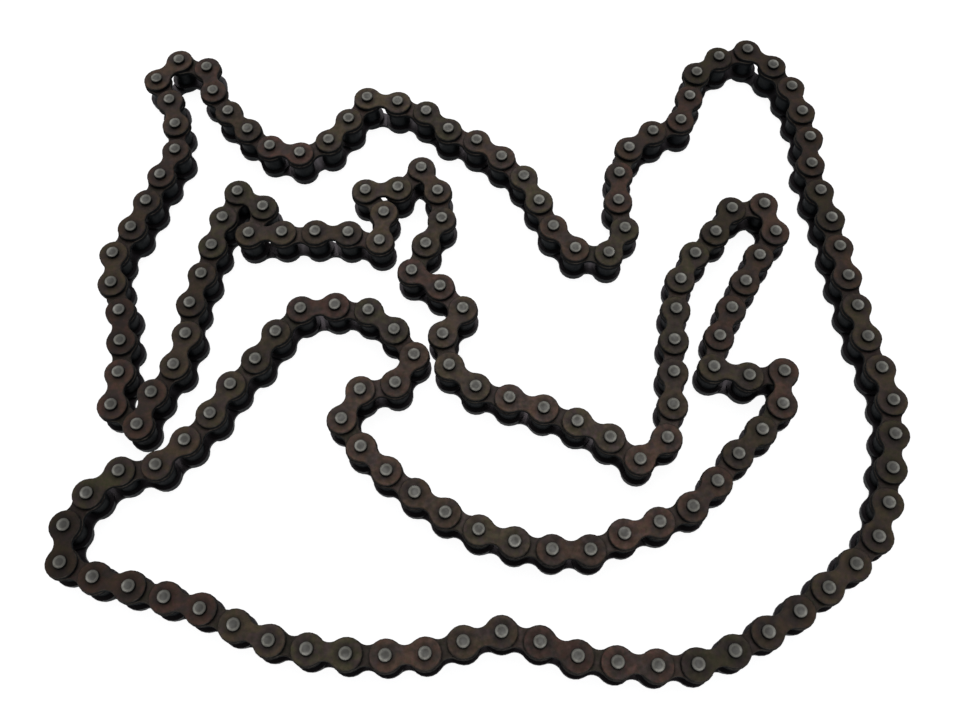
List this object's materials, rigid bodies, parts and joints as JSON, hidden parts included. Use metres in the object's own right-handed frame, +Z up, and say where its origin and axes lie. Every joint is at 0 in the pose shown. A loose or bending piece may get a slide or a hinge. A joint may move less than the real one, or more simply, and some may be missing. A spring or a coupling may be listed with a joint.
{
  "type": "roller chain",
  "caption": "Endless riveted simplex roller chain lying on its side in a loose loop, with working hinge pins and loose rollers that carry power between sprockets.",
  "frame": {"origin": "middle of the whole loop's outline, on the surface that the lower pin ends stand on", "axes": "+Z up along every pin, +X along the loop's longer side, +Y away from the long bottom run"},
  "size_m": [0.2962, 0.2616, 0.0169],
  "materials": {
    "oxide_plate": "dark brown oxide steel plate, satin, lightly oiled",
    "oxide_strand": "dark brown oxide steel plates and rollers, satin",
    "dark_roller": "dark hardened roller, smooth and oiled",
    "dark_bush": "dark hardened bush",
    "grey_pin": "grey ground pin with a lightly riveted end"
  },
  "bodies": {
    "chain_at_rest": {"strand_upper_hump": "oxide_strand", "strand_right_side": "oxide_strand", "strand_bottom_right": "oxide_strand", "strand_bottom_left": "oxide_strand", "strand_left_corner": "oxide_strand", "strand_inner_curve_lower": "oxide_strand", "strand_inner_curve_right": "oxide_strand", "strand_inner_line_right": "oxide_strand", "strand_inner_line_left": "oxide_strand", "strand_left_folds_inner": "oxide_strand", "strand_left_folds_outer": "oxide_strand"},
    "finger_link_107": {"outer_plate_107_top": "oxide_plate", "outer_plate_107_bottom": "oxide_plate", "pin_107": "grey_pin", "pin_108": "grey_pin"},
    "finger_link_108": {"inner_plate_108_top": "oxide_plate", "inner_plate_108_bottom": "oxide_plate", "bush_108": "dark_bush", "bush_109": "dark_bush"},
    "finger_tip": {"outer_plate_109_top": "oxide_plate", "outer_plate_109_bottom": "oxide_plate", "pin_109": "grey_pin", "pin_110": "grey_pin", "inner_plate_110_top": "oxide_plate", "inner_plate_110_bottom": "oxide_plate", "bush_110": "dark_bush", "bush_111": "dark_bush"},
    "finger_link_111": {"outer_plate_111_top": "oxide_plate", "outer_plate_111_bottom": "oxide_plate", "pin_111": "grey_pin", "pin_112": "grey_pin"},
    "finger_link_112": {"inner_plate_112_top": "oxide_plate", "inner_plate_112_bottom": "oxide_plate", "bush_112": "dark_bush", "bush_113": "dark_bush"},
    "finger_link_113": {"outer_plate_113_top": "oxide_plate", "outer_plate_113_bottom": "oxide_plate", "pin_113": "grey_pin", "pin_114": "grey_pin"},
    "arch_link_20": {"inner_link_20": "oxide_plate"},
    "arch_link_21": {"outer_link_21": "oxide_plate"},
    "arch": {"arch_strand": "oxide_strand"},
    "arch_link_33": {"outer_link_33": "oxide_plate"},
    "arch_link_34": {"inner_link_34": "oxide_plate"},
    "tip_link_163": {"outer_link_163": "oxide_plate"},
    "tip": {"tip_strand": "oxide_strand"},
    "tip_link_1": {"outer_link_1": "oxide_plate"},
    "hump_link_77": {"outer_link_77": "oxide_plate"},
    "hump": {"hump_strand": "oxide_strand"},
    "hump_link_83": {"outer_link_83": "oxide_plate"},
    "roller_108_body": {"roller_108": "dark_roller"},
    "roller_109_body": {"roller_109": "dark_roller"},
    "roller_110_body": {"roller_110": "dark_roller"},
    "roller_111_body": {"roller_111": "dark_roller"},
    "roller_112_body": {"roller_112": "dark_roller"},
    "roller_113_body": {"roller_113": "dark_roller"}
  },
  "joints": [
    {"name": "pin_107_hinge", "type": "hinge", "parent": "chain_at_rest", "child": "finger_link_107", "pos_m": [0.09872, 0.01082, 0.00845], "axis": [0, 0, 1], "range_deg": [-24, 24]},
    {"name": "pin_108_hinge", "type": "hinge", "parent": "finger_link_107", "child": "finger_link_108", "pos_m": [0.10547, 0.02157, 0.00845], "axis": [0, 0, 1], "range_deg": [-24, 24]},
    {"name": "pin_109_hinge", "type": "hinge", "parent": "finger_link_108", "child": "finger_tip", "pos_m": [0.11308, 0.03174, 0.00845], "axis": [0, 0, 1], "range_deg": [-48, 48]},
    {"name": "pin_111_hinge", "type": "hinge", "parent": "finger_tip", "child": "finger_link_111", "pos_m": [0.09798, 0.04272, 0.00845], "axis": [0, 0, 1], "range_deg": [-48, 48]},
    {"name": "pin_112_hinge", "type": "hinge", "parent": "finger_link_111", "child": "finger_link_112", "pos_m": [0.09037, 0.03255, 0.00845], "axis": [0, 0, 1], "range_deg": [-48, 48]},
    {"name": "pin_113_hinge", "type": "hinge", "parent": "finger_link_112", "child": "finger_link_113", "pos_m": [0.08152, 0.02345, 0.00845], "axis": [0, 0, 1], "range_deg": [-24, 24]},
    {"name": "pin_20_hinge", "type": "hinge", "parent": "chain_at_rest", "child": "arch_link_20", "pos_m": [0.0562, 0.03569, 0.00845], "axis": [0, 0, 1], "range_deg": [-28, 30]},
    {"name": "pin_21_hinge", "type": "hinge", "parent": "arch_link_20", "child": "arch_link_21", "pos_m": [0.05484, 0.04831, 0.00845], "axis": [0, 0, 1], "range_deg": [-28, 30]},
    {"name": "pin_22_hinge", "type": "hinge", "parent": "arch_link_21", "child": "arch", "pos_m": [0.05632, 0.06093, 0.00845], "axis": [0, 0, 1], "range_deg": [-60, 56]},
    {"name": "pin_33_hinge", "type": "hinge", "parent": "arch", "child": "arch_link_33", "pos_m": [0.13323, 0.07462, 0.00845], "axis": [0, 0, 1], "range_deg": [-56, 60]},
    {"name": "pin_34_hinge", "type": "hinge", "parent": "arch_link_33", "child": "arch_link_34", "pos_m": [0.13175, 0.06201, 0.00845], "axis": [0, 0, 1], "range_deg": [-30, 28]},
    {"name": "pin_163_hinge", "type": "hinge", "parent": "chain_at_rest", "child": "tip_link_163", "pos_m": [-0.12031, 0.09247, 0.00845], "axis": [0, 0, 1], "range_deg": [-26, 40]},
    {"name": "pin_164_hinge", "type": "hinge", "parent": "tip_link_163", "child": "tip", "pos_m": [-0.12377, 0.10469, 0.00845], "axis": [0, 0, 1], "range_deg": [-40, 26]},
    {"name": "pin_1_hinge", "type": "hinge", "parent": "tip", "child": "tip_link_1", "pos_m": [-0.10973, 0.12081, 0.00845], "axis": [0, 0, 1], "range_deg": [-26, 40]},
    {"name": "pin_77_hinge", "type": "hinge", "parent": "chain_at_rest", "child": "hump_link_77", "pos_m": [-0.08198, -0.01367, 0.00845], "axis": [0, 0, 1], "range_deg": [-6, 40]},
    {"name": "pin_78_hinge", "type": "hinge", "parent": "hump_link_77", "child": "hump", "pos_m": [-0.07517, -0.00295, 0.00845], "axis": [0, 0, 1], "range_deg": [-40, 6]},
    {"name": "pin_83_hinge", "type": "hinge", "parent": "hump", "child": "hump_link_83", "pos_m": [-0.02461, -0.01432, 0.00845], "axis": [0, 0, 1], "range_deg": [-6, 40]},
    {"name": "roller_108_spin", "type": "hinge", "parent": "finger_link_108", "child": "roller_108_body", "pos_m": [0.10547, 0.02157, 0.00845], "axis": [0, 0, 1], "continuous": true},
    {"name": "roller_109_spin", "type": "hinge", "parent": "finger_link_108", "child": "roller_109_body", "pos_m": [0.11308, 0.03174, 0.00845], "axis": [0, 0, 1], "continuous": true},
    {"name": "roller_110_spin", "type": "hinge", "parent": "finger_tip", "child": "roller_110_body", "pos_m": [0.11059, 0.04419, 0.00845], "axis": [0, 0, 1], "continuous": true},
    {"name": "roller_111_spin", "type": "hinge", "parent": "finger_tip", "child": "roller_111_body", "pos_m": [0.09798, 0.04272, 0.00845], "axis": [0, 0, 1], "continuous": true},
    {"name": "roller_112_spin", "type": "hinge", "parent": "finger_link_112", "child": "roller_112_body", "pos_m": [0.09037, 0.03255, 0.00845], "axis": [0, 0, 1], "continuous": true},
    {"name": "roller_113_spin", "type": "hinge", "parent": "finger_link_112", "child": "roller_113_body", "pos_m": [0.08152, 0.02345, 0.00845], "axis": [0, 0, 1], "continuous": true}
  ],
  "couplings": [
    {"joint": "pin_108_hinge", "follows": "pin_107_hinge", "ratio": 1},
    {"joint": "pin_109_hinge", "follows": "pin_107_hinge", "ratio": -2},
    {"joint": "pin_111_hinge", "follows": "pin_107_hinge", "ratio": 2},
    {"joint": "pin_112_hinge", "follows": "pin_107_hinge", "ratio": -2},
    {"joint": "pin_113_hinge", "follows": "pin_107_hinge", "ratio": 1},
    {"joint": "pin_21_hinge", "follows": "pin_20_hinge", "ratio": 1},
    {"joint": "pin_22_hinge", "follows": "pin_20_hinge", "ratio": -2},
    {"joint": "pin_33_hinge", "follows": "pin_20_hinge", "ratio": 2},
    {"joint": "pin_34_hinge", "follows": "pin_20_hinge", "ratio": -1},
    {"joint": "pin_164_hinge", "follows": "pin_163_hinge", "ratio": -1},
    {"joint": "pin_1_hinge", "follows": "pin_163_hinge", "ratio": 1},
    {"joint": "pin_78_hinge", "follows": "pin_77_hinge", "ratio": -1},
    {"joint": "pin_83_hinge", "follows": "pin_77_hinge", "ratio": 1}
  ]
}
